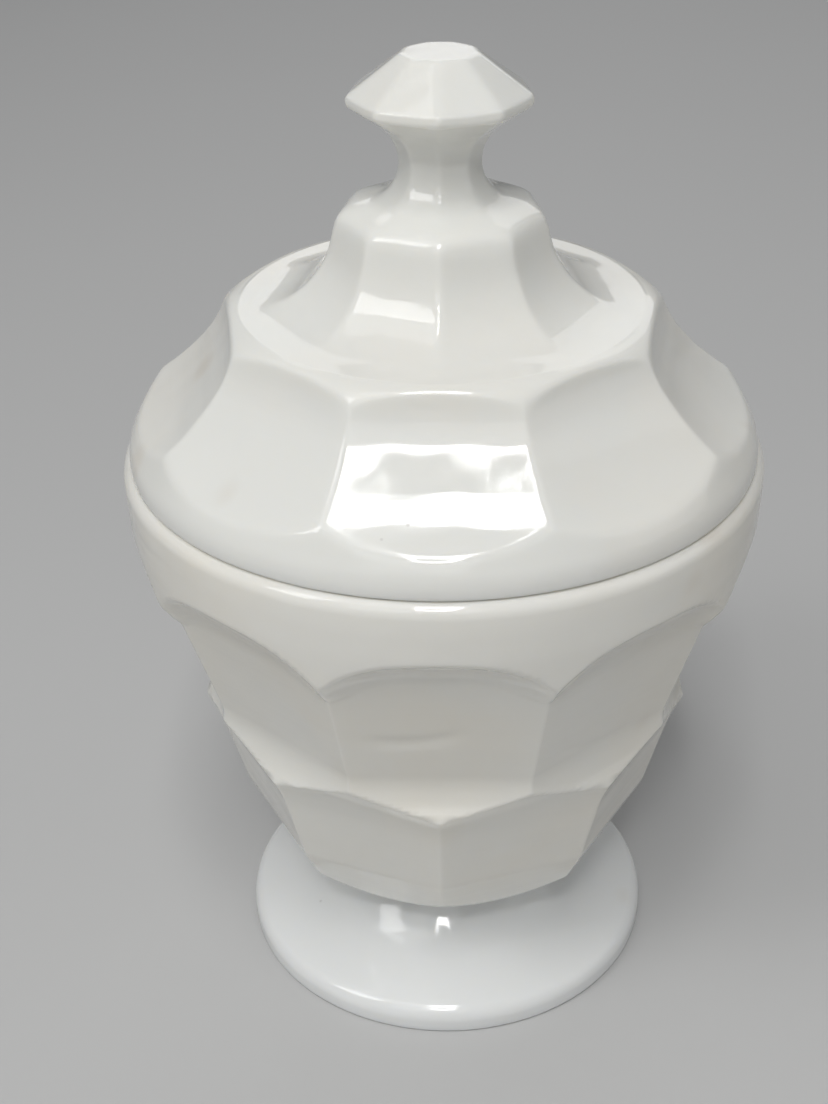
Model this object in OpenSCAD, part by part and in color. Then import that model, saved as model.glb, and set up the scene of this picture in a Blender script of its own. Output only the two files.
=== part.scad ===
// Footed covered jar in pressed opal glass, with nine thumbprint panels.
// Two pieces: the jar (foot, stem and bowl, pressed as one) and its lift-off cover.
// Millimetres, +Z up. The origin is the centre of the foot's resting face.
// Azimuth 0 is -Y. Panel edges stand at azimuth 0 and every panel step after it.

/* [Panels] */
// Number of panels round the jar and the cover
panels = 9; // [8:1:10]

/* [Foot and stem] */
// Radius of the foot at its rim
foot_r = 43.8; // [42:0.1:46]
// Height of the upright edge of the foot
foot_edge_h = 2.6; // [2:0.1:3.5]
// Radius of the rounding over that edge
foot_round_r = 3.5; // [2.5:0.1:4]
// Slope of the foot's top, in degrees
foot_slope = 23.5; // [22:0.5:25]
// Radius at which the foot starts to sweep up into the stem
sweep_start_r = 33; // [31:0.5:34]
// Radius of that sweep
sweep_r = 24.7; // [23:0.1:26]
// Height at which the stem meets the bowl
stem_top_z = 22; // [21:0.5:23]
// Depth of the hollow under the foot
foot_hollow_h = 4; // [2:0.5:5]

/* [Bowl] */
// Height of the bowl's rim, where the cover sits
rim_z = 116.8; // [116:0.1:118]
// Outer radius of the bowl's rim
rim_r = 61.8; // [61.3:0.1:62.5]
// Rounding of the rim's outer edge
rim_round_r = 2.6; // [2:0.1:3]
// Radius of the bowl's mouth
mouth_r = 54.4; // [54:0.1:55]
// Radius of the round ledge under the thumbprints
ledge_r = 50; // [49.5:0.1:50.5]
// Height of that ledge
ledge_z = 61; // [60.5:0.1:61.5]
// Height of the crease low on the bowl's flats
crease_z = 38.4; // [37:0.1:40]
// Height of the bowl's floor inside
floor_z = 36; // [34:0.5:37]
// Lean of the bowl's inner wall from upright, in degrees
wall_lean = 17; // [16:0.5:18]

/* [Cover] */
// Outer radius of the cover's rim
cover_r = 60.3; // [59.8:0.1:60.8]
// Depth of the flange that locates the cover in the mouth
flange_h = 6; // [4:0.5:8]
// Gap between the flange and the mouth
flange_gap = 0.7; // [0.5:0.1:1]
// Inner radius of the flange
flange_in_r = 49.5; // [48.5:0.1:50]
// Height of the hollow's top, under the cover
hollow_top_z = 148; // [146:0.5:149]

/* [Shoulder, neck and knob] */
// Corner radius of the shoulder
shoulder_r = 19.4; // [19:0.1:20]
// Height of the shoulder's upper edge
shoulder_z = 163.2; // [163:0.1:163.6]
// Corner radius of the neck at its waist
neck_r = 7.7; // [7.2:0.1:8.5]
// Height of the neck's waist
neck_z = 171.8; // [171.5:0.1:172]
// Corner radius of the knob at its widest
knob_r = 16.8; // [16:0.1:17.5]
// Height of the knob's lower edge
knob_z = 182.7; // [182:0.1:183]
// Corner radius of the knob's flat top
knob_top_r = 7; // [6:0.1:8]
// Total height of the covered jar
total_h = 190.8; // [189:0.1:192]

/* [Hidden] */
$fn = 96;

step = 360 / panels;
// Ratio of a flat's distance from the axis to its corner radius
flat = cos(step / 2);
// Reach and length of the cutting bars, past every surface
far = 90;
bar_l = 90;
arc_steps = 10;

// The bowl's thumbprint: an upper and a lower arc, joined by a straight lean
print_lean = 16;
print_top = [53, 90.5];
print_top_r = 32;
print_low = [48.7, 75];
print_low_r = 15.8;

// The lower flats: a flare under the ledge, then a straight lean to the crease
flare_join = [44.1, 53];
flare_r = 38;
upper_lean = 14;
lower_lean = 24.7;

// The bowl's hollow: a round floor, a rounded corner and a leaning wall
floor_r = 60;
floor_end = 29;
corner_r = 18;

// The cover's thumbprint: two arcs that share a tangent
cover_join = [43.2, 136.5];
cover_dir = 52;
cover_top_r = 18;
cover_low_r = 48;

// The bead round the cover, between its panels and its thumbprints
bead_c = [36.5, 137.5];
bead_r = 7.6;
bead_a = 20;

// The cover's rim, and the hollow sweep of its panels
dome_r = 8;
dome_a = 28;
panel_c = [36.7, 161.2];
panel_r = 15.6;

// The neck's two arcs
neck_low_r = 7;
neck_low_slope = 18;
neck_top_r = 8.5;
neck_top_a = 44;

// --- helpers -----------------------------------------------------------------

// Points of an arc about c, from angle a0 to angle a1.
function arc(c, r, a0, a1) = [
    for (i = [0 : arc_steps])
        let (a = a0 + (a1 - a0) * i / arc_steps)
            c + r * [cos(a), sin(a)]
];

// The point at distance r from c, in the direction of angle a.
function polar(c, r, a) = c + r * [cos(a), sin(a)];

// Draws corner radii as distances of the flats from the axis.
function to_flat(points) = [for (p = points) [p[0] * flat, p[1]]];

// Extrudes a profile drawn in (out, up) along the tangent, centred on azimuth a.
module tangent_bar(a) {
    rotate([0, 0, a - 90])
        rotate([90, 0, 0])
            translate([0, 0, -bar_l / 2])
                linear_extrude(height = bar_l)
                    children();
}

// --- jar -----------------------------------------------------------------------

module jar_blank() {
    sweep_z = foot_edge_h + foot_round_r * cos(foot_slope)
        + (foot_r - foot_round_r * (1 - sin(foot_slope)) - sweep_start_r) * tan(foot_slope);
    sweep_c = [sweep_start_r, sweep_z] + sweep_r * [sin(foot_slope), cos(foot_slope)];
    sweep_end = 180 + asin((sweep_c[1] - stem_top_z) / sweep_r);
    rotate_extrude()
        polygon(concat(
            [[0, 0], [foot_r - 0.6, 0]],
            arc([foot_r - foot_round_r, foot_edge_h], foot_round_r, 0, 90 - foot_slope),
            arc(sweep_c, sweep_r, 270 - foot_slope, sweep_end),
            [[34, 26], [43, 34], [ledge_r - 1.5, ledge_z - 11], [ledge_r, ledge_z]],
            [[ledge_r + 1.6, ledge_z + 12.6], [56, 84], [rim_r - 1.2, 97], [rim_r - 0.3, 105]],
            arc([rim_r - rim_round_r, rim_z - rim_round_r], rim_round_r, 0, 90),
            [[0, rim_z]]
        ));
}

// What is cut away in front of one flat of the lower bowl.
module lower_flat() {
    flare_c = polar(flare_join, flare_r, -upper_lean);
    crease_x = flare_join[0] - (flare_join[1] - crease_z) * tan(upper_lean);
    polygon(concat(
        [[far, 68]],
        arc(flare_c, flare_r, 180 - asin((68 - flare_c[1]) / flare_r), 180 - upper_lean),
        [[crease_x, crease_z], [crease_x - (crease_z - stem_top_z) * tan(lower_lean), stem_top_z]],
        [[far, stem_top_z]]
    ));
}

// One thumbprint of the bowl.
module bowl_print() {
    polygon(concat(
        [[far, print_top[1] + print_top_r]],
        arc(polar(print_top, print_top_r, -print_lean), print_top_r, 120, 180 - print_lean),
        arc(polar(print_low, print_low_r, -print_lean), print_low_r, 180 - print_lean, 250),
        [[far, print_low[1] - print_low_r]]
    ));
}

module bowl_hollow() {
    floor_c = [0, floor_z + floor_r];
    corner_c = polar(floor_c, floor_r - corner_r, floor_end - 90);
    wall_foot = polar(corner_c, corner_r, -wall_lean);
    mouth_z = wall_foot[1] + (mouth_r - wall_foot[0]) / tan(wall_lean);
    rotate_extrude()
        polygon(concat(
            arc(floor_c, floor_r, -90, floor_end - 90),
            arc(corner_c, corner_r, floor_end - 90, -wall_lean),
            [[mouth_r, mouth_z], [mouth_r, rim_z + 1], [0, rim_z + 1]]
        ));
}

module jar() {
    color([0.93, 0.925, 0.9])
        difference() {
            jar_blank();
            for (i = [0 : panels - 1]) {
                tangent_bar((i + 0.5) * step) lower_flat();
                tangent_bar(i * step) bowl_print();
            }
            bowl_hollow();
            translate([0, 0, -1])
                cylinder(r1 = foot_r - 8, r2 = foot_r - 12, h = foot_hollow_h + 1);
        }
}

// --- cover ---------------------------------------------------------------------

module cover_blank() {
    dome_c = [cover_r - dome_r, rim_z + 1.2];
    rotate_extrude()
        polygon(concat(
            [[0, rim_z], [cover_r - 0.6, rim_z]],
            arc(dome_c, dome_r, 0, dome_a),
            [[54.2, 131.4], [50, 136], [46, 137.5]],
            arc(bead_c, bead_r, bead_a, 90),
            [[30, 153], [shoulder_r + 2, shoulder_z - 2], [shoulder_r + 2, total_h], [0, total_h]]
        ));
}

// One thumbprint of the cover.
module cover_print() {
    polygon(concat(
        [[far, cover_join[1] + cover_top_r]],
        arc(polar(cover_join, cover_top_r, 90 - cover_dir), cover_top_r, 135, 270 - cover_dir),
        arc(polar(cover_join, cover_low_r, 90 - cover_dir), cover_low_r, 270 - cover_dir, 275),
        [[far, cover_join[1] - cover_low_r]]
    ));
}

// What is cut away in front of one panel: its hollow sweep, the shoulder, neck and knob.
module cover_panel() {
    neck_low_c = [neck_r + neck_low_r, neck_z];
    neck_top_c = [neck_r + neck_top_r, neck_z];
    polygon(concat(
        [[far, panel_c[1] - panel_r]],
        arc([panel_c[0] * flat, panel_c[1]], panel_r, 270, 188),
        to_flat([[shoulder_r, shoulder_z - 3.4], [shoulder_r, shoulder_z - 1.4]]),
        to_flat([[shoulder_r - 0.8, shoulder_z]]),
        to_flat(arc(neck_low_c, neck_low_r, 270 - neck_low_slope, 180)),
        to_flat(arc(neck_top_c, neck_top_r, 180, 180 - neck_top_a)),
        to_flat([[knob_r - 0.6, knob_z - 1], [knob_r, knob_z], [knob_r, knob_z + 1.1]]),
        to_flat([[knob_top_r, total_h], [knob_top_r, total_h + 1]]),
        [[far, total_h + 1]]
    ));
}

module cover_hollow() {
    rise = hollow_top_z - rim_z;
    hollow_r = (pow(flange_in_r, 2) + pow(rise, 2)) / (2 * rise);
    hollow_c = [0, hollow_top_z - hollow_r];
    edge_a = acos(flange_in_r / hollow_r);
    rotate_extrude()
        polygon(concat(
            [[0, rim_z - flange_h - 1], [flange_in_r, rim_z - flange_h - 1]],
            arc(hollow_c, hollow_r, edge_a, 90)
        ));
}

module cover() {
    color([0.93, 0.93, 0.91])
        difference() {
            union() {
                difference() {
                    cover_blank();
                    for (i = [0 : panels - 1]) {
                        tangent_bar((i + 0.5) * step) cover_panel();
                        tangent_bar(i * step) cover_print();
                    }
                }
                translate([0, 0, rim_z - flange_h])
                    cylinder(r = mouth_r - flange_gap, h = flange_h + 1);
            }
            cover_hollow();
        }
}

jar();
cover();
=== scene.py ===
"""Looks of a footed covered jar in pressed opal glass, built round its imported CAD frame.

The glass is described once, as a distance field in millimetres: turned outlines, cut by nine flats and
nine thumbprints, with every arris rounded. Each piece is one closed skin found on that field.
"""

import math

import bpy
import numpy as np
from mathutils import Matrix, Vector


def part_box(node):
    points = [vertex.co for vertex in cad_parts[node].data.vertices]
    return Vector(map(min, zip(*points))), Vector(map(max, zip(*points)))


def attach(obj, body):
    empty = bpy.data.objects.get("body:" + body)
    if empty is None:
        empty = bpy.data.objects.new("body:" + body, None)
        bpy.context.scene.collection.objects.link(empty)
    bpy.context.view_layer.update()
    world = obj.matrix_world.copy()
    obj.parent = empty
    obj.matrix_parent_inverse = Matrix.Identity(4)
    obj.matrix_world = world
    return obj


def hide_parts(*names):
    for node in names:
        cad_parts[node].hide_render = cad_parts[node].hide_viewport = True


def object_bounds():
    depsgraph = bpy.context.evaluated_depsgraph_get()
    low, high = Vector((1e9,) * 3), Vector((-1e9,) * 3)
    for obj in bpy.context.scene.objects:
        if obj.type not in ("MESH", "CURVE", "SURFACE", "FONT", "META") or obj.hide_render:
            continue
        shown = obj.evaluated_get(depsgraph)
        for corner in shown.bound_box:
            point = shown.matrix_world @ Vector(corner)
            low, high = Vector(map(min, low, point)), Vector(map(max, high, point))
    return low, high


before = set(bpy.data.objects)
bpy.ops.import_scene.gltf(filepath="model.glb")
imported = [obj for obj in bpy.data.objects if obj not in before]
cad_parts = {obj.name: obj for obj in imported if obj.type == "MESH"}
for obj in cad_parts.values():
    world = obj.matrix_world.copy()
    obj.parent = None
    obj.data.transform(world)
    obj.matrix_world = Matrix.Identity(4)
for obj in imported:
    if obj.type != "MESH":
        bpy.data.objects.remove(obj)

CAD_LOW, CAD_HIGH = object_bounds()
_, JAR_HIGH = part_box("jar")
COVER_LOW, COVER_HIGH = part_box("cover")

MM = 0.001

# --- sizes, in millimetres ----------------------------------------------------------------

PANELS = 9
STEP = 2 * math.pi / PANELS
FLAT = math.cos(STEP / 2)

# From the frame
RIM_Z = JAR_HIGH.z / MM
RIM_R = JAR_HIGH.x / MM
TOTAL_H = COVER_HIGH.z / MM
FLANGE_Z = COVER_LOW.z / MM
COVER_R = COVER_HIGH.x / MM

# Foot and stem
FOOT_R = 43.8
FOOT_EDGE = 2.6
FOOT_ROUND = 3.5
FOOT_SLOPE = 23.5
SWEEP_START = 33.0
SWEEP_R = 24.7
STEM_TOP = 22.0
FOOT_HOLLOW_R = 35.0
FOOT_HOLLOW_H = 4.0
FOOT_HOLLOW_LEAN = 38.7
SWEEP_END = 190.0
STEM_INSIDE = 6.0

# Outside of the bowl, before its flats and thumbprints: radius against height
BOWL_SIDE = [(40.5, 30.0), (43.0, 34.0), (48.6, 50.0), (50.2, 61.0), (51.6, 73.6), (56.0, 84.0),
             (60.6, 97.0), (61.5, 105.0), (RIM_R, 111.0), (RIM_R, 125.0)]
BOWL_SIDE_BLEND = 1.2
BOWL_UNDER, STEM_SIDE_LEAN, BOWL_UNDER_LEAN = (34, 26), -73.5, -48.4
RIM_ROUND = 2.6

# The bowl's thumbprint, as (distance from the axis, height)
PRINT_LEAN = 16.0
PRINT_LOW, PRINT_LOW_R = (47.2, 70.3), 8.2
PRINT_ROOF, PRINT_ROOF_R, PRINT_ROOF_LEAN = (55.0, 97.3), 20.0, 27.0
PRINT_DROOP, PRINT_HALF_WIDTH = 4.4, 21.0
PRINT_DROOP_FROM, PRINT_DROOP_TO = 12, 3
PRINT_FOOT_END, PRINT_ROOF_END = 262, 80

# The lower flats
FLARE_JOIN, FLARE_R = (44.1, 53.0), 38.0
UPPER_LEAN, LOWER_LEAN = 14.0, 24.7
CREASE_Z = 38.4
FLARE_END = 120

# The bowl's hollow
MOUTH_R = 54.4
FLOOR_Z, FLOOR_R, FLOOR_END = 36.0, 60.0, 29.0
CORNER_R = 18.0
WALL_LEAN = 17.0

# The cover
FLANGE_OUT_R, FLANGE_IN_R = 53.7, 49.5
HOLLOW_TOP = 148.0
DOME_R, DOME_END = 8.0, 28.0
BEAD_C, BEAD_R = (36.5, 137.9), 7.7
COVER_JOIN, COVER_DIR = (43.2, 136.5), 52.0
COVER_TOP_R, COVER_LOW_R = 18.0, 48.0
COVER_PRINT_ENDS = (120, 300)
SWEEP_C, PANEL_SWEEP_R = (36.7 * FLAT, 161.2), 15.6
DOME_UP, DOME_CUT, DOME_CUT_LEAN = 1.2, (49.3, 136), 50
BEAD_LOW_END = 5
CORE, CORE_LEAN, CORE_R = (36.3, 145.6), 43, 38
FLANGE_INSIDE = 3

# Shoulder, neck and knob, as distances of the flats from the axis
SHOULDER, SHOULDER_BLEND = (18.75, 159.5), (157.0, 161.5)
SHOULDER_LEAN = 9.0
SHOULDER_TOP_DROP = 4
POST_R = 21.4
NECK_U, NECK_Z = 7.24, 171.8
NECK_LOW_R, NECK_TOP_R = 7.1, 8.2
NECK_LOW_SLOPE, NECK_TOP_END = 18.0, 125.0
KNOB_U, KNOB_GIRDLE_Z = 15.8, 183.8
KNOB_TOP_U = 6.6

# How far each rounding reaches where two faces of the jar meet
FOOT_ARRIS, STEM_ARRIS = 0.8, 1.0
UNDER_BLEND, UNDER_ARRIS = 2.0, 0.6
ROOF_CREASE = 0.25
CREASE_ARRIS = 0.35
MOUTH_BLEND, FOOT_HOLLOW_BLEND = 2.0, 3.0
PRINT_RIDGE, PRINT_ARRIS = 0.3, 0.75
FLAT_RIDGE, FLAT_ARRIS = 0.45, 0.45
STEM_BLEND = 2.5
MOUTH_ARRIS, FOOT_HOLLOW_ARRIS = 1.4, 1.2

# And where two faces of the cover meet
COVER_RIM_ARRIS = 0.9
COVER_PRINT_RIDGE, COVER_PRINT_ARRIS = 0.45, 1.0
PANEL_RIDGE, SHOULDER_SOFTER, KNOB_CRISPER = 0.6, 0.5, 0.35
PANEL_ARRIS = 0.25
SHOULDER_ARRIS = 3.4
GIRDLE_ARRIS, KNOB_UNDER_ARRIS, KNOB_TOP_ARRIS = 0.4, 0.5, 0.5
FLANGE_ARRIS, FLANGE_TOP_ARRIS, FLANGE_FILLET, FLANGE_INNER_ARRIS = 1.4, 0.5, 0.3, 1.4
DOME_HOLLOW_BLEND = 3.0


# --- distance field -----------------------------------------------------------------------

def soft_max(a, b, k):
    """The larger of a and b, rounded where they are within k of each other."""
    h = np.maximum(k - np.abs(a - b), 0.0) / k
    return np.maximum(a, b) + k / 6.0 * h ** 3


def soft_min(a, b, k):
    return -soft_max(-a, -b, k)


def half_plane(u, z, point, degrees):
    """Signed distance past a line through point whose normal stands at that angle."""
    a = math.radians(degrees)
    return (u - point[0]) * math.cos(a) + (z - point[1]) * math.sin(a)


def reach(u, z, centre, low, high):
    """How far a point lies from centre, along the best direction between two angles.

    Less a radius, it is a rounded corner with straight sides. A radius less it is a hollow sweep.
    """
    du, dz = u - centre[0], z - centre[1]
    low, high = math.radians(low), math.radians(high)
    middle = (low + high) / 2
    off = np.arctan2(du * -math.sin(middle) + dz * math.cos(middle),
                     du * math.cos(middle) + dz * math.sin(middle))
    ends = np.maximum(du * math.cos(low) + dz * math.sin(low),
                      du * math.cos(high) + dz * math.sin(high))
    return np.where(np.abs(off) <= (high - low) / 2, np.hypot(du, dz), ends)


def polar(centre, radius, degrees):
    a = math.radians(degrees)
    return (centre[0] + radius * math.cos(a), centre[1] + radius * math.sin(a))


def soft_line(z, points, blend):
    """Radius along a line through points, with its corners rounded over blend each way, and its slope."""
    rs, zs = (np.array(c, float) for c in zip(*points))
    sums = np.concatenate([[0.0], np.cumsum((zs[1:] - zs[:-1]) * (rs[1:] + rs[:-1]) / 2)])

    def area(x):
        i = np.clip(np.searchsorted(zs, x) - 1, 0, len(zs) - 2)
        r = np.interp(x, zs, rs)
        return sums[i] + (x - zs[i]) * (rs[i] + r) / 2

    z = np.clip(z, zs[0] + blend, zs[-1] - blend)
    radius = (area(z + blend) - area(z - blend)) / (2 * blend)
    slope = (np.interp(z + blend, zs, rs) - np.interp(z - blend, zs, rs)) / (2 * blend)
    return radius, slope


def on_panels(r, azimuth, z, offset, profile, k):
    """A profile that is cut along all nine directions, with the ridges between them rounded.

    Each profile is given the distance out, the height, and the distance to the side of its middle.
    """
    a = np.abs((azimuth - offset + STEP / 2) % STEP - STEP / 2)
    near = profile(r * np.cos(a), z, r * np.sin(a))
    beyond = profile(r * np.cos(STEP - a), z, r * np.sin(STEP - a))
    return soft_max(near, beyond, k)


def ease(x, low, high):
    """0 below low, 1 above high, and smooth between."""
    t = np.clip((x - low) / (high - low), 0.0, 1.0)
    return t * t * (3 - 2 * t)


# --- the jar's field ----------------------------------------------------------------------

def foot_and_stem(r, z):
    rim_c = (FOOT_R - FOOT_ROUND, FOOT_EDGE)
    slope_r, start_z = polar(rim_c, FOOT_ROUND, 90 - FOOT_SLOPE)
    start_z += (slope_r - SWEEP_START) * math.tan(math.radians(FOOT_SLOPE))
    sweep_c = polar((SWEEP_START, start_z), SWEEP_R, 90 - FOOT_SLOPE)
    rim = reach(r, z, rim_c, 0, 90 - FOOT_SLOPE) - FOOT_ROUND
    sweep = SWEEP_R - reach(r, z, sweep_c, SWEEP_END, 270 - FOOT_SLOPE)
    top = np.where(half_plane(r, z, (SWEEP_START, start_z), -FOOT_SLOPE) > 0, rim, sweep)
    base = soft_max(top, -z, FOOT_ARRIS)
    return soft_max(base, z - STEM_TOP - STEM_INSIDE, STEM_ARRIS)


def bowl_blank(r, z):
    radius, slope = soft_line(z, BOWL_SIDE, BOWL_SIDE_BLEND)
    side = (r - radius) / np.sqrt(1 + slope ** 2)
    under = soft_max(half_plane(r, z, BOWL_UNDER, STEM_SIDE_LEAN),
                     half_plane(r, z, BOWL_UNDER, BOWL_UNDER_LEAN), UNDER_BLEND)
    rim = reach(r, z, (RIM_R - RIM_ROUND, RIM_Z - RIM_ROUND), 0, 90) - RIM_ROUND
    return np.maximum(soft_max(side, under, UNDER_ARRIS), rim)


def bowl_print(u, z, side):
    """Positive in the air of one thumbprint: a leaning face, a tight foot and a hollow roof.

    The roof droops towards its corners, so that the print ends in an arch.
    """
    foot_c = polar(PRINT_LOW, PRINT_LOW_R, -PRINT_LEAN)
    face = PRINT_LOW_R - reach(u, z, foot_c, 180 - PRINT_LEAN, PRINT_FOOT_END)
    near_roof = ease(z, PRINT_ROOF[1] - PRINT_DROOP_FROM, PRINT_ROOF[1] - PRINT_DROOP_TO)
    z = z + PRINT_DROOP * (side / PRINT_HALF_WIDTH) ** 3 * near_roof
    roof_c = polar(PRINT_ROOF, PRINT_ROOF_R, -PRINT_ROOF_LEAN)
    roof = PRINT_ROOF_R - reach(u, z, roof_c, PRINT_ROOF_END, 180 - PRINT_ROOF_LEAN)
    return soft_min(face, roof, ROOF_CREASE)


def lower_flat(u, z, side):
    flare_c = polar(FLARE_JOIN, FLARE_R, -UPPER_LEAN)
    flare = FLARE_R - reach(u, z, flare_c, FLARE_END, 180 - UPPER_LEAN)
    crease_u = FLARE_JOIN[0] - (FLARE_JOIN[1] - CREASE_Z) * math.tan(math.radians(UPPER_LEAN))
    return soft_max(flare, half_plane(u, z, (crease_u, CREASE_Z), -LOWER_LEAN), CREASE_ARRIS)


def bowl_hollow(r, z):
    """Negative in the air inside the bowl."""
    floor_c = (0.0, FLOOR_Z + FLOOR_R)
    corner_c = polar(floor_c, FLOOR_R - CORNER_R, FLOOR_END - 90)
    floor = np.hypot(r - floor_c[0], z - floor_c[1]) - FLOOR_R
    wall = reach(r, z, corner_c, FLOOR_END - 90, -WALL_LEAN) - CORNER_R
    inner = np.where(half_plane(r, z, floor_c, FLOOR_END) > 0, wall, floor)
    return soft_max(inner, r - MOUTH_R, MOUTH_BLEND)


def foot_hollow(r, z):
    side = half_plane(r, z, (FOOT_HOLLOW_R, 0.0), FOOT_HOLLOW_LEAN)
    return soft_max(side, z - FOOT_HOLLOW_H, FOOT_HOLLOW_BLEND)


def jar_field(r, azimuth, z):
    """Negative in the jar's glass, positive in the air."""
    body = bowl_blank(r, z)
    prints = on_panels(r, azimuth, z, 0.0, bowl_print, PRINT_RIDGE)
    flats = on_panels(r, azimuth, z, STEP / 2, lower_flat, FLAT_RIDGE)
    body = soft_max(body, prints, PRINT_ARRIS)
    body = soft_max(body, flats, FLAT_ARRIS)
    body = soft_min(body, foot_and_stem(r, z), STEM_BLEND)
    body = soft_max(body, -bowl_hollow(r, z), MOUTH_ARRIS)
    return soft_max(body, -foot_hollow(r, z), FOOT_HOLLOW_ARRIS)


# --- the cover's field --------------------------------------------------------------------

def cover_blank(r, z):
    dome = reach(r, z, (COVER_R - DOME_R, RIM_Z + DOME_UP), 0, DOME_END) - DOME_R
    dome = np.maximum(dome, half_plane(r, z, DOME_CUT, DOME_CUT_LEAN))
    bead = reach(r, z, BEAD_C, BEAD_LOW_END, 90) - BEAD_R
    core = np.maximum(half_plane(r, z, CORE, CORE_LEAN), r - CORE_R)
    post = r - POST_R
    return soft_max(np.minimum(np.minimum(dome, bead), np.minimum(core, post)), RIM_Z - z, COVER_RIM_ARRIS)


def cover_print(u, z, side):
    """Positive in the air of one thumbprint: two arcs that share a tangent."""
    top_c = polar(COVER_JOIN, COVER_TOP_R, 90 - COVER_DIR)
    low_c = polar(COVER_JOIN, COVER_LOW_R, 90 - COVER_DIR)
    top = COVER_TOP_R - reach(u, z, top_c, COVER_PRINT_ENDS[0], 270 - COVER_DIR)
    low = COVER_LOW_R - reach(u, z, low_c, 270 - COVER_DIR, COVER_PRINT_ENDS[1])
    return np.where(half_plane(u, z, COVER_JOIN, 180 - COVER_DIR) > 0, top, low)


def shoulder_side(u, z):
    sweep = PANEL_SWEEP_R - reach(u, z, SWEEP_C, 180, 270)
    face = half_plane(u, z, SHOULDER, SHOULDER_LEAN)
    t = ease(z, *SHOULDER_BLEND)
    return sweep * (1 - t) + face * t


def neck_and_knob(u, z):
    low = NECK_LOW_R - reach(u, z, (NECK_U + NECK_LOW_R, NECK_Z), 180, 270 - NECK_LOW_SLOPE)
    top = NECK_TOP_R - reach(u, z, (NECK_U + NECK_TOP_R, NECK_Z), NECK_TOP_END, 180)
    facet = math.degrees(math.atan2(KNOB_U - KNOB_TOP_U, TOTAL_H - KNOB_GIRDLE_Z))
    knob = soft_max(u - KNOB_U, half_plane(u, z, (KNOB_U, KNOB_GIRDLE_Z), facet), GIRDLE_ARRIS)
    return np.where(z < NECK_Z, low, soft_max(top, knob, KNOB_UNDER_ARRIS))


def cover_panel(u, z, side):
    """Positive in the air in front of one panel: its hollow sweep, the shoulder, neck and knob."""
    post = neck_and_knob(u, z)
    shouldered = soft_max(shoulder_side(u, z), post, SHOULDER_ARRIS)
    return np.where(z < NECK_Z - SHOULDER_TOP_DROP, shouldered, post)


def cover_hollow(r, z):
    rise = HOLLOW_TOP - RIM_Z
    radius = (FLANGE_IN_R ** 2 + rise ** 2) / (2 * rise)
    sphere = np.hypot(r, z - (HOLLOW_TOP - radius)) - radius
    return soft_max(sphere, r - FLANGE_IN_R, DOME_HOLLOW_BLEND)


def panel_ridge(z):
    """Rounding of the ridges between panels: softest on the shoulder, crisper on the knob."""
    return PANEL_RIDGE + SHOULDER_SOFTER * ease(z, 150, 157) - KNOB_CRISPER * ease(z, 165, 171)


def cover_field(r, azimuth, z):
    """Negative in the cover's glass, positive in the air."""
    body = cover_blank(r, z)
    prints = on_panels(r, azimuth, z, 0.0, cover_print, COVER_PRINT_RIDGE)
    panels = on_panels(r, azimuth, z, STEP / 2, cover_panel, panel_ridge(z))
    body = soft_max(body, prints, COVER_PRINT_ARRIS)
    body = soft_max(body, panels, PANEL_ARRIS)
    body = soft_max(body, z - TOTAL_H, KNOB_TOP_ARRIS)
    flange = soft_max(r - FLANGE_OUT_R, FLANGE_Z - z, FLANGE_ARRIS)
    flange = soft_max(flange, z - RIM_Z - FLANGE_INSIDE, FLANGE_TOP_ARRIS)
    body = soft_min(body, flange, FLANGE_FILLET)
    return soft_max(body, -cover_hollow(r, z), FLANGE_INNER_ARRIS)


def ripple(r, azimuth, z, phase):
    """The slight unevenness of glass that shrank from its mould, a few hundredths of a millimetre."""
    x, y = r * np.sin(azimuth), -r * np.cos(azimuth)
    slow = np.sin(0.21 * x + 0.13 * z + phase) * np.sin(0.17 * y - 0.19 * z + 2 * phase)
    fast = np.sin(0.53 * x - 0.31 * y + phase) * np.sin(0.61 * z + 0.4 * y)
    return 0.05 + 0.03 * slow + 0.012 * fast


# Shallow folds left where the gather of glass chilled against the mould:
# azimuth, height, tilt, half length, half width, depth. Angles in degrees, the rest in millimetres.
JAR_FOLDS = [
    (-5, 80.0, 7, 8.0, 1.7, 0.48),
    (37, 71.0, -12, 9.0, 1.3, 0.10),
    (-84, 84.0, 15, 7.0, 1.5, 0.12),
    (121, 77.0, -6, 9.0, 1.6, 0.12),
    (-152, 88.0, 10, 6.0, 1.2, 0.10),
    (-58, 109.5, 3, 7.0, 1.0, 0.06),
]
COVER_FOLDS = [
    (-37, 147.0, 4, 5.5, 0.9, 0.12),
    (19, 150.5, -20, 5.0, 1.2, 0.08),
    (-64, 129.0, 12, 8.0, 1.6, 0.10),
    (96, 133.0, -9, 8.0, 1.5, 0.10),
    (170, 152.0, 14, 6.0, 1.2, 0.10),
    (-4, 142.3, -9, 3.5, 0.6, 0.05),
]
FOLD_BOW = 0.02


def folds(r, azimuth, z, marks):
    """Depth of the shallow folds at a place on the skin."""
    depth = 0.0
    for middle, height, tilt, length, width, deep in marks:
        turn = (azimuth - math.radians(middle) + math.pi) % (2 * math.pi) - math.pi
        across, up = turn * r, z - height
        c, s = math.cos(math.radians(tilt)), math.sin(math.radians(tilt))
        along, over = across * c + up * s, up * c - across * s
        over = over - FOLD_BOW * along ** 2
        depth = depth + deep * np.exp(-(along / length) ** 4 - (over / width) ** 2)
    return depth


# --- skins --------------------------------------------------------------------------------

GUIDE_AZIMUTH = math.radians(12)
SECTOR_COLUMNS = 16
# Millimetres between rows, where the skin shows and where it is hidden
SEEN_ROW, HIDDEN_ROW = 0.58, 3.0
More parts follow.
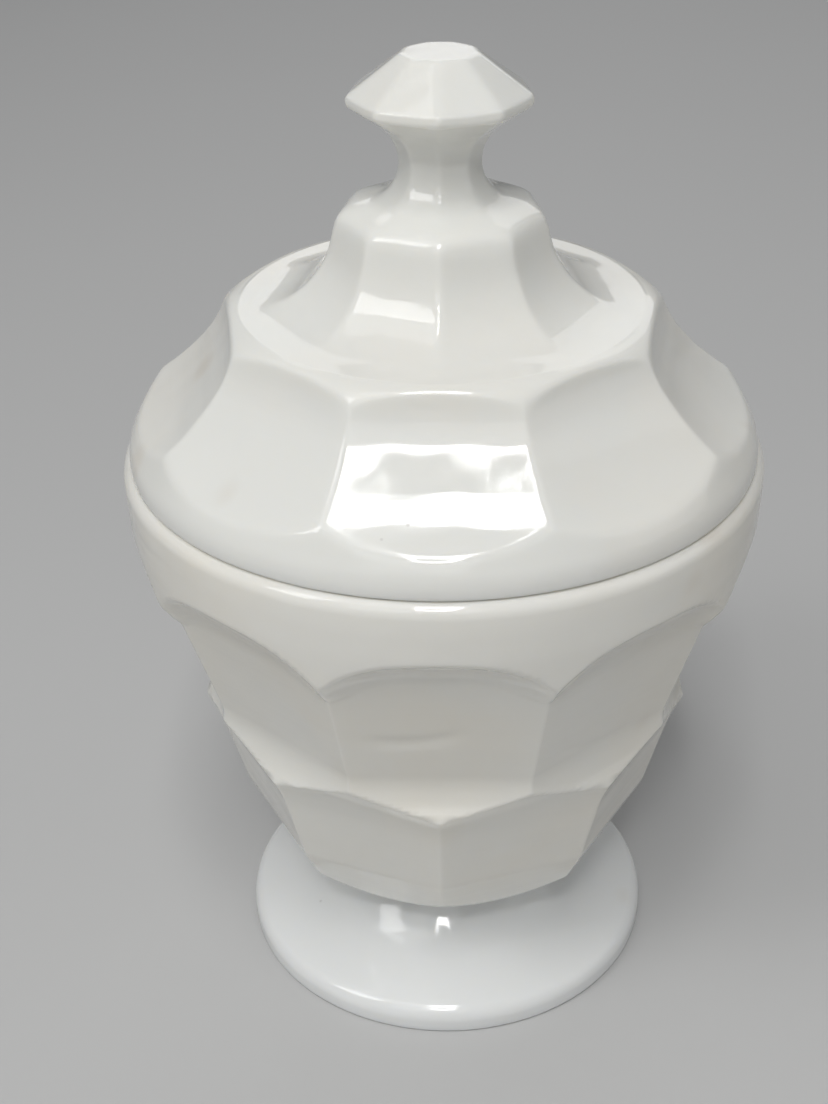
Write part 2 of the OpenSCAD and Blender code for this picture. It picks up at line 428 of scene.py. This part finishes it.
# How much closer the columns stand at the ridges and down the middle of each panel
COLUMN_BUNCHING = 0.65
TRACE_STEP = 0.25
TRACE_PULLS = 2
RAY_SMOOTHING = 2.0
SOLVE_STEPS, SLOWEST_RATE, LONGEST_SLIDE = 40, 0.4, 0.6


def slope_of(field, r, azimuth, z):
    """The field's gradient, outwards, round the axis and upwards."""
    h = 0.01
    out = (field(r + h, azimuth, z) - field(r - h, azimuth, z)) / (2 * h)
    turn = h / np.maximum(r, 1.0)
    around = (field(r, azimuth + turn, z) - field(r, azimuth - turn, z)) / (2 * h)
    up = (field(r, azimuth, z + h) - field(r, azimuth, z - h)) / (2 * h)
    return out, around, up


def trace(field, start_z):
    """Follows the skin in one half plane, from the axis back to the axis, with its normals."""
    h = 0.01
    at = np.array([0.0, start_z])
    path, normals = [], []
    while at[0] >= 0.0:
        for _ in range(TRACE_PULLS):
            around = at[0] + np.array([0, h, 0]), GUIDE_AZIMUTH, at[1] + np.array([0, 0, h])
            here, right, above = field(*around)
            normal = np.array([right - here, above - here]) / h
            at = at - here * normal / (normal @ normal)
        normal /= math.hypot(*normal)
        path.append(at)
        normals.append(normal)
        at = at + TRACE_STEP * np.array([-normal[1], normal[0]])
    return np.array(path), np.array(normals)


def smoothed(values, reach_mm):
    """Moving average along the path."""
    n = int(round(reach_mm / TRACE_STEP))
    padded = np.concatenate([values[:1]] * n + [values] + [values[-1:]] * n)
    return np.mean([padded[i:i + len(values)] for i in range(2 * n + 1)], axis=0)


def guide(field, start_z, is_hidden):
    """Where each row of the skin starts, and which way it is moved."""
    path, normals = trace(field, start_z)
    rays = smoothed(normals, RAY_SMOOTHING)
    rays /= np.hypot(rays[:, 0], rays[:, 1])[:, None]
    rows_per_step = TRACE_STEP / np.where(is_hidden(path[:, 0], path[:, 1]), HIDDEN_ROW, SEEN_ROW)
    along = np.concatenate([[0.0], np.cumsum(rows_per_step[1:])])
    stops = np.linspace(0, along[-1], int(along[-1]) + 1)
    starts = np.stack([np.interp(stops, along, path[:, i]) for i in (0, 1)], axis=1)
    ways = np.stack([np.interp(stops, along, rays[:, i]) for i in (0, 1)], axis=1)
    return starts, ways


def solve(field, starts, ways, azimuths):
    """Slides every start along its ray until it meets the skin at each azimuth."""
    r0, z0 = starts[:, :1], starts[:, 1:]
    dr, dz = ways[:, :1], ways[:, 1:]
    azimuths = azimuths[None, :]
    t = np.zeros((len(starts), azimuths.shape[1]))
    h = 0.02
    for _ in range(SOLVE_STEPS):
        value = field(r0 + t * dr, azimuths, z0 + t * dz)
        ahead = field(r0 + (t + h) * dr, azimuths, z0 + (t + h) * dz)
        rate = np.maximum((ahead - value) / h, SLOWEST_RATE)
        t -= np.clip(value / rate, -LONGEST_SLIDE, LONGEST_SLIDE)
    return np.maximum(r0 + t * dr, 0.0), z0 + t * dz


def skin(name, field, start_z, is_hidden, phase, marks):
    """One closed mesh on the field's zero surface, ringed from pole to pole."""
    starts, ways = guide(field, start_z, is_hidden)
    share = np.arange(SECTOR_COLUMNS + 1) / SECTOR_COLUMNS
    sector = STEP / 2 * (share - COLUMN_BUNCHING * np.sin(2 * math.pi * share) / (2 * math.pi))
    r, z = solve(field, starts, ways, sector)

    column = np.arange(2 * PANELS * SECTOR_COLUMNS)
    turn, place = np.divmod(column, SECTOR_COLUMNS)
    azimuth = turn * STEP / 2 + sector[place]
    folded = np.where(turn % 2 == 0, place, SECTOR_COLUMNS - place)
    r, z = r[1:-1, folded], z[1:-1, folded]
    azimuth = np.broadcast_to(azimuth, r.shape)

    def unevenness(radius, angle, height):
        return ripple(radius, angle, height, phase) + folds(radius, angle, height, marks)

    def uneven(radius, angle, height):
        return field(radius, angle, height) + unevenness(radius, angle, height)

    out, around, up = slope_of(uneven, r, azimuth, z)
    size = np.sqrt(out ** 2 + around ** 2 + up ** 2)
    out, around, up = out / size, around / size, up / size
    sine, cosine = np.sin(azimuth), np.cos(azimuth)
    normals = np.stack([out * sine + around * cosine, -out * cosine + around * sine, up], axis=-1)
    points = np.stack([r * sine, -r * cosine, z], axis=-1)
    points -= normals * unevenness(r, azimuth, z)[..., None]

    low_pole = np.array([[0.0, 0.0, starts[0, 1]]])
    high_pole = np.array([[0.0, 0.0, starts[-1, 1]]])
    vertices = np.concatenate([low_pole, points.reshape(-1, 3), high_pole]) * MM
    ends = np.sign([[0, 0, ways[0, 1]], [0, 0, ways[-1, 1]]])
    normals = np.concatenate([ends[:1], normals.reshape(-1, 3), ends[1:]])

    rows, columns = r.shape
    index = 1 + np.arange(rows * columns).reshape(rows, columns)
    after = np.roll(index, -1, axis=1)
    quads = np.stack([index[:-1], after[:-1], after[1:], index[1:]], axis=-1).reshape(-1, 4)
    low_fan = np.stack([np.zeros(columns, int), after[0], index[0]], axis=-1)
    high_fan = np.stack([index[-1], after[-1], np.full(columns, len(vertices) - 1)], axis=-1)

    mesh = bpy.data.meshes.new(name)
    mesh.from_pydata(vertices.tolist(), [], low_fan.tolist() + quads.tolist() + high_fan.tolist())
    mesh.validate()
    mesh.shade_smooth()
    mesh.normals_split_custom_set_from_vertices(normals.tolist())
    piece = bpy.data.objects.new(name, mesh)
    bpy.context.scene.collection.objects.link(piece)
    return piece


# --- materials ----------------------------------------------------------------------------

class Shader:
    """A material's node tree, built by short calls."""

    def __init__(self, name):
        self.material = bpy.data.materials.new(name)
        self.material.use_nodes = True
        self.nodes = self.material.node_tree.nodes
        self.links = self.material.node_tree.links
        self.principled = self.nodes["Principled BSDF"]
        self.place = self.add("ShaderNodeTexCoord").outputs["Object"]

    def add(self, kind, **settings):
        node = self.nodes.new(kind)
        for key, value in settings.items():
            setattr(node, key, value)
        return node

    def feed(self, node, **inputs):
        for key, value in inputs.items():
            socket = node.inputs[key.replace("_", " ")]
            if isinstance(value, bpy.types.NodeSocket):
                self.links.new(value, socket)
            else:
                socket.default_value = value
        return node

    def noise(self, scale, detail=2.0, rough=0.5, warp=0.0):
        node = self.feed(self.add("ShaderNodeTexNoise"), Vector=self.place, Scale=scale,
                         Detail=detail, Roughness=rough, Distortion=warp)
        return node.outputs["Fac"]

    def moved(self, offset, stretch=(1, 1, 1)):
        node = self.feed(self.add("ShaderNodeMapping"), Vector=self.place, Location=offset,
                         Scale=stretch)
        return node.outputs["Vector"]

    def ramp(self, value, low, high, to_low=0.0, to_high=1.0):
        node = self.feed(self.add("ShaderNodeMapRange", interpolation_type="SMOOTHSTEP"),
                         Value=value, From_Min=low, From_Max=high, To_Min=to_low, To_Max=to_high)
        return node.outputs["Result"]

    def sums(self, a, b, kind="ADD"):
        node = self.add("ShaderNodeMath", operation=kind)
        for socket, value in zip(node.inputs, (a, b)):
            if isinstance(value, bpy.types.NodeSocket):
                self.links.new(value, socket)
            else:
                socket.default_value = value
        return node.outputs[0]

    def mix(self, share, a, b):
        node = self.add("ShaderNodeMix", data_type="RGBA")
        sockets = [s for s in node.inputs if s.enabled and s.type in ("VALUE", "RGBA")]
        for socket, value in zip(sockets, (share, a, b)):
            if isinstance(value, bpy.types.NodeSocket):
                self.links.new(value, socket)
            else:
                socket.default_value = value
        return [s for s in node.outputs if s.enabled][0]

    def bump(self, height, distance, normal=None):
        node = self.feed(self.add("ShaderNodeBump"), Height=height, Distance=distance, Strength=1.0)
        if normal:
            self.feed(node, Normal=normal)
        return node.outputs["Normal"]


JAR_MILK, JAR_WARM = (0.82, 0.81, 0.76, 1), (0.82, 0.795, 0.725, 1)
COVER_MILK, COVER_WARM = (0.80, 0.80, 0.762, 1), (0.81, 0.797, 0.745, 1)
THIN_GLASS = (0.81, 0.82, 0.81, 1)
TAN_SPOT, DARK_SPECK = (0.60, 0.50, 0.38, 1), (0.16, 0.13, 0.11, 1)
TAN_SHARE, SPECK_SHARE = 0.2, 0.3
FOOT_TINT_FROM, FOOT_TINT_TO = 0.012, 0.040
GLASS_IOR = 1.5
MILKINESS, MILK_RADIUS, MILK_DEPTH = 0.55, (1.0, 0.95, 0.85), 0.0035
WAVE_DEPTH, GRAIN_DEPTH, RING_DEPTH = 0.00035, 0.00002, 0.00004
RING_STRETCH = (18, 18, 330)


def opal_glass(name, milk, warm, thin, seed):
    """Dense white glass: a glossy skin over a milky body, with the press's small unevenness.

    Its colour runs from thin, at the foot, to milk and warm clouds above.
    """
    s = Shader(name)
    height = s.feed(s.add("ShaderNodeSeparateXYZ"), Vector=s.place).outputs["Z"]
    shift = s.moved((seed, 2 * seed, -seed))
    s.place = shift
    cloud = s.noise(22, 3, 0.55, 0.4)
    fine = s.noise(160, 4, 0.6)
    colour = s.mix(s.ramp(cloud, 0.38, 0.66), milk, warm)
    colour = s.mix(s.ramp(height, FOOT_TINT_FROM, FOOT_TINT_TO), thin, colour)

    spots = s.feed(s.add("ShaderNodeTexVoronoi"), Vector=shift, Scale=55.0, Randomness=1.0)
    chosen = s.ramp(s.noise(31, 1), 0.60, 0.68)
    tan = s.sums(s.ramp(spots.outputs["Distance"], 0.10, 0.28, 1.0, 0.0), chosen, "MULTIPLY")
    colour = s.mix(s.sums(tan, TAN_SHARE, "MULTIPLY"), colour, TAN_SPOT)

    seeds = s.feed(s.add("ShaderNodeTexVoronoi"), Vector=shift, Scale=150.0, Randomness=1.0)
    rare = s.ramp(s.noise(47, 1), 0.62, 0.66)
    speck = s.sums(s.ramp(seeds.outputs["Distance"], 0.03, 0.07, 1.0, 0.0), rare, "MULTIPLY")
    colour = s.mix(s.sums(speck, SPECK_SHARE, "MULTIPLY"), colour, DARK_SPECK)

    smear = s.noise(38, 5, 0.65, 1.2)
    rough = s.sums(s.ramp(smear, 0.45, 0.72, 0.05, 0.14), s.ramp(fine, 0.3, 0.7, 0.0, 0.02))
    rough = s.sums(rough, s.sums(speck, SPECK_SHARE, "MULTIPLY"))
    normal = s.bump(s.noise(45, 1.5, 0.4), WAVE_DEPTH)
    normal = s.bump(fine, GRAIN_DEPTH, normal)
    s.place = s.moved((0, 0, 0), RING_STRETCH)
    normal = s.bump(s.noise(1.0, 2, 0.5, 0.3), RING_DEPTH, normal)
    s.feed(s.principled, Base_Color=colour, Roughness=rough, Normal=normal, IOR=GLASS_IOR,
           Subsurface_Weight=MILKINESS, Subsurface_Radius=MILK_RADIUS, Subsurface_Scale=MILK_DEPTH)
    return s.material


FLOOR_DARK, FLOOR_PALE = (0.51, 0.51, 0.505, 1), (0.53, 0.53, 0.525, 1)


def floor_material():
    s = Shader("studio_floor")
    grain = s.noise(3, 2)
    s.feed(s.principled, Base_Color=s.mix(grain, FLOOR_DARK, FLOOR_PALE), Roughness=0.6)
    return s.material


# --- pieces -------------------------------------------------------------------------------

HOLLOW_SKIN = 0.5
MOUTH_SEEN = 14


def hidden_on_jar(r, z):
    in_foot = np.abs(foot_hollow(r, z)) < HOLLOW_SKIN
    in_bowl = np.abs(bowl_hollow(r, z)) < HOLLOW_SKIN
    return in_foot | in_bowl & (z < RIM_Z - MOUTH_SEEN)


def hidden_on_cover(r, z):
    on_flange = (r < FLANGE_OUT_R + 1) & (z < RIM_Z + 0.4)
    return on_flange | (np.abs(cover_hollow(r, z)) < HOLLOW_SKIN)


def make_jar():
    piece = skin("jar_glass_body", jar_field, FOOT_HOLLOW_H, hidden_on_jar, 0.4, JAR_FOLDS)
    glass = opal_glass("jar_opal_glass", JAR_MILK, JAR_WARM, THIN_GLASS, 0.11)
    piece.data.materials.append(glass)
    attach(piece, "jar")
    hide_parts("jar")


def make_cover():
    piece = skin("cover_glass_body", cover_field, HOLLOW_TOP, hidden_on_cover, 1.7, COVER_FOLDS)
    glass = opal_glass("cover_opal_glass", COVER_MILK, COVER_WARM, THIN_GLASS, 0.37)
    piece.data.materials.append(glass)
    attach(piece, "cover")
    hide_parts("cover")


# --- studio -------------------------------------------------------------------------------

FLOOR_SIDE = 6.0


def make_floor():
    bpy.ops.mesh.primitive_plane_add(size=FLOOR_SIDE, location=(0, 0, CAD_LOW.z))
    floor = bpy.context.object
    floor.name = "studio_floor"
    floor.data.materials.append(floor_material())


LIGHT_DISTANCE = 1.4
AIR_COLOUR, AIR_STRENGTH = (0.62, 0.63, 0.65, 1), 0.28

# Name, radiance, azimuth, elevation, size, and shift in the light's own plane.
# The four key lights frame one dark middle, so that they are mirrored in the glass as a ring.
LIGHTS = [
    ("key_top", 14.5, -3, 62, (0.24, 0.29), (0, 0.22)),
    ("key_bottom", 52, -3, 62, (0.21, 0.09), (0, -0.36)),
    ("key_left", 21, -3, 62, (0.04, 0.40), (-0.10, -0.12)),
    ("key_right", 24, -3, 62, (0.05, 0.40), (0.10, -0.12)),
    ("left_softbox", 4.9, -56, 45, (0.38, 0.56), (0, 0)),
    ("left_high_fill", 1.2, -50, 68, (0.8, 0.7), (0, 0)),
    ("front_fill", 0.95, -9, 36, (0.9, 0.6), (0, 0)),
    ("right_fill", 0.5, 84, 22, (0.9, 0.8), (0, 0)),
    ("back_fill", 0.9, 174, 32, (1.1, 0.8), (0, 0)),
]


def area_light(name, radiance, azimuth, elevation, size, shift):
    """A soft box on a sphere round the object, aimed at its middle, then shifted."""
    light = bpy.data.lights.new(name, "AREA")
    light.shape = "RECTANGLE"
    light.size, light.size_y = size
    light.energy = radiance * math.pi * size[0] * size[1]
    lamp = bpy.data.objects.new(name, light)
    a, e = math.radians(azimuth), math.radians(elevation)
    aim = (CAD_LOW + CAD_HIGH) / 2
    away = Vector((math.sin(a) * math.cos(e), -math.cos(a) * math.cos(e), math.sin(e)))
    turn = away.to_track_quat("Z", "Y")
    lamp.location = aim + away * LIGHT_DISTANCE + turn @ Vector((shift[0], shift[1], 0))
    lamp.rotation_euler = turn.to_euler()
    bpy.context.scene.collection.objects.link(lamp)


def make_lights():
    for light in LIGHTS:
        area_light(*light)
    world = bpy.data.worlds.new("studio_air")
    world.use_nodes = True
    background = world.node_tree.nodes["Background"]
    background.inputs["Color"].default_value = AIR_COLOUR
    background.inputs["Strength"].default_value = AIR_STRENGTH
    bpy.context.scene.world = world
    bpy.context.scene.view_settings.view_transform = "Standard"


CAMERA_AT = Vector((0.0066, -0.2892, 0.2643))
CAMERA_TURN, CAMERA_TILT, CAMERA_ROLL = 2.5, 31.01, 1.11
CAMERA_LENS, CAMERA_SENSOR = 54.28, 36.0
CAMERA_NEAR = 0.01


def make_camera():
    data = bpy.data.cameras.new("photo_camera")
    data.sensor_width = CAMERA_SENSOR
    data.lens = CAMERA_LENS
    data.clip_start = CAMERA_NEAR
    camera = bpy.data.objects.new("photo_camera", data)
    turn = Matrix.Rotation(math.radians(CAMERA_TURN), 4, "Z")
    tilt = Matrix.Rotation(math.radians(90 - CAMERA_TILT), 4, "X")
    roll = Matrix.Rotation(-math.radians(CAMERA_ROLL), 4, "Z")
    camera.matrix_world = Matrix.Translation(CAMERA_AT) @ turn @ tilt @ roll
    bpy.context.scene.collection.objects.link(camera)
    bpy.context.scene.camera = camera


make_jar()
make_cover()
make_floor()
make_lights()
make_camera()
